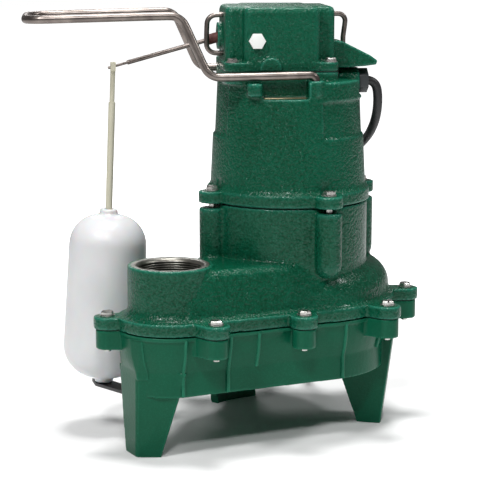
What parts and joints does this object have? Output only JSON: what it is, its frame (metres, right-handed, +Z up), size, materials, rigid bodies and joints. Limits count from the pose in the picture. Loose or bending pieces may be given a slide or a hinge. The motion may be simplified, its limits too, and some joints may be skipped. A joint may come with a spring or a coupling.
{
  "type": "sewage pump",
  "caption": "Submersible sewage pump on three cast legs, with an upright threaded discharge, bolted motor housing, switch cap, bent rod handle and a float that works the switch through an arm.",
  "frame": {"origin": "middle of the footprint, cord left out, at the floor", "axes": "+Z up along the motor shaft and out of the discharge; +X toward the motor side, away from the discharge; -Y toward the side with the metal plate"},
  "size_m": [0.3833, 0.3861, 0.4127],
  "materials": {
    "casting": "glossy green paint",
    "base_paint": "satin green paint",
    "rod": "satin",
    "bolt_steel": "bright",
    "gasket": "matt",
    "white_plastic": "satin",
    "tag": "satin",
    "boot_rubber": "matt",
    "stem_plastic": "satin",
    "float_plastic": "translucent white, satin",
    "black_plastic": "satin",
    "gland_plastic": "satin",
    "cord_jacket": "satin",
    "core_steel": "satin",
    "copper": "lacquered",
    "impeller_iron": "as cast",
    "ceramic": "smooth",
    "switch_plastic": "satin"
  },
  "bodies": {
    "pump": {"base_casting": "base_paint", "volute_gasket": "gasket", "volute_casting": "casting", "motor_gasket": "gasket", "motor_housing": "casting", "cap_gasket": "gasket", "switch_cap": "casting", "volute_bolts": "bolt_steel", "motor_bolts": "bolt_steel", "cap_screws": "bolt_steel", "handle": "rod", "left_guard": "rod", "right_guard": "rod", "vent_plug": "white_plastic", "rating_plate": "tag", "pivot_pin": "bolt_steel", "float_guide": "black_plastic", "guide_screw": "bolt_steel", "cord_gland": "gland_plastic", "cord": "cord_jacket", "cord_coil": "cord_jacket", "cord_plug": "cord_jacket", "stator_core": "core_steel", "upper_winding": "copper", "lower_winding": "copper", "upper_bearing": "bolt_steel", "lower_bearing": "bolt_steel", "seal_seat": "ceramic", "switch_body": "switch_plastic"},
    "rotor": {"shaft": "bolt_steel", "rotor_core": "core_steel", "impeller": "impeller_iron", "impeller_nut": "bolt_steel", "seal_head": "gasket"},
    "float": {"float_stem": "stem_plastic", "float_body": "float_plastic"},
    "arm": {"float_arm": "rod", "arm_boot": "boot_rubber"},
    "plunger": {"switch_plunger": "switch_plastic"}
  },
  "joints": [
    {"name": "rotor_spin", "type": "hinge", "parent": "pump", "child": "rotor", "pos_m": [0.0574, -0.01625, 0.2], "axis": [0, 0, 1], "continuous": true},
    {"name": "float_lift", "type": "slide", "parent": "pump", "child": "float", "axis": [0.0391, -0.015, 0.9991], "range_m": [0, 0.062]},
    {"name": "arm_swing", "type": "hinge", "parent": "pump", "child": "arm", "pos_m": [-0.00141, 0.00633, 0.3836], "axis": [0.3584, 0.9336, 0], "range_deg": [0, 33.1]},
    {"name": "plunger_slide", "type": "slide", "parent": "pump", "child": "plunger", "axis": [0, 0, -1], "range_m": [0, 0.006]}
  ],
  "couplings": [
    {"joint": "arm_swing", "follows": "float_lift", "rad_per_m": 9.3},
    {"joint": "plunger_slide", "follows": "float_lift", "ratio": 0.09656}
  ]
}
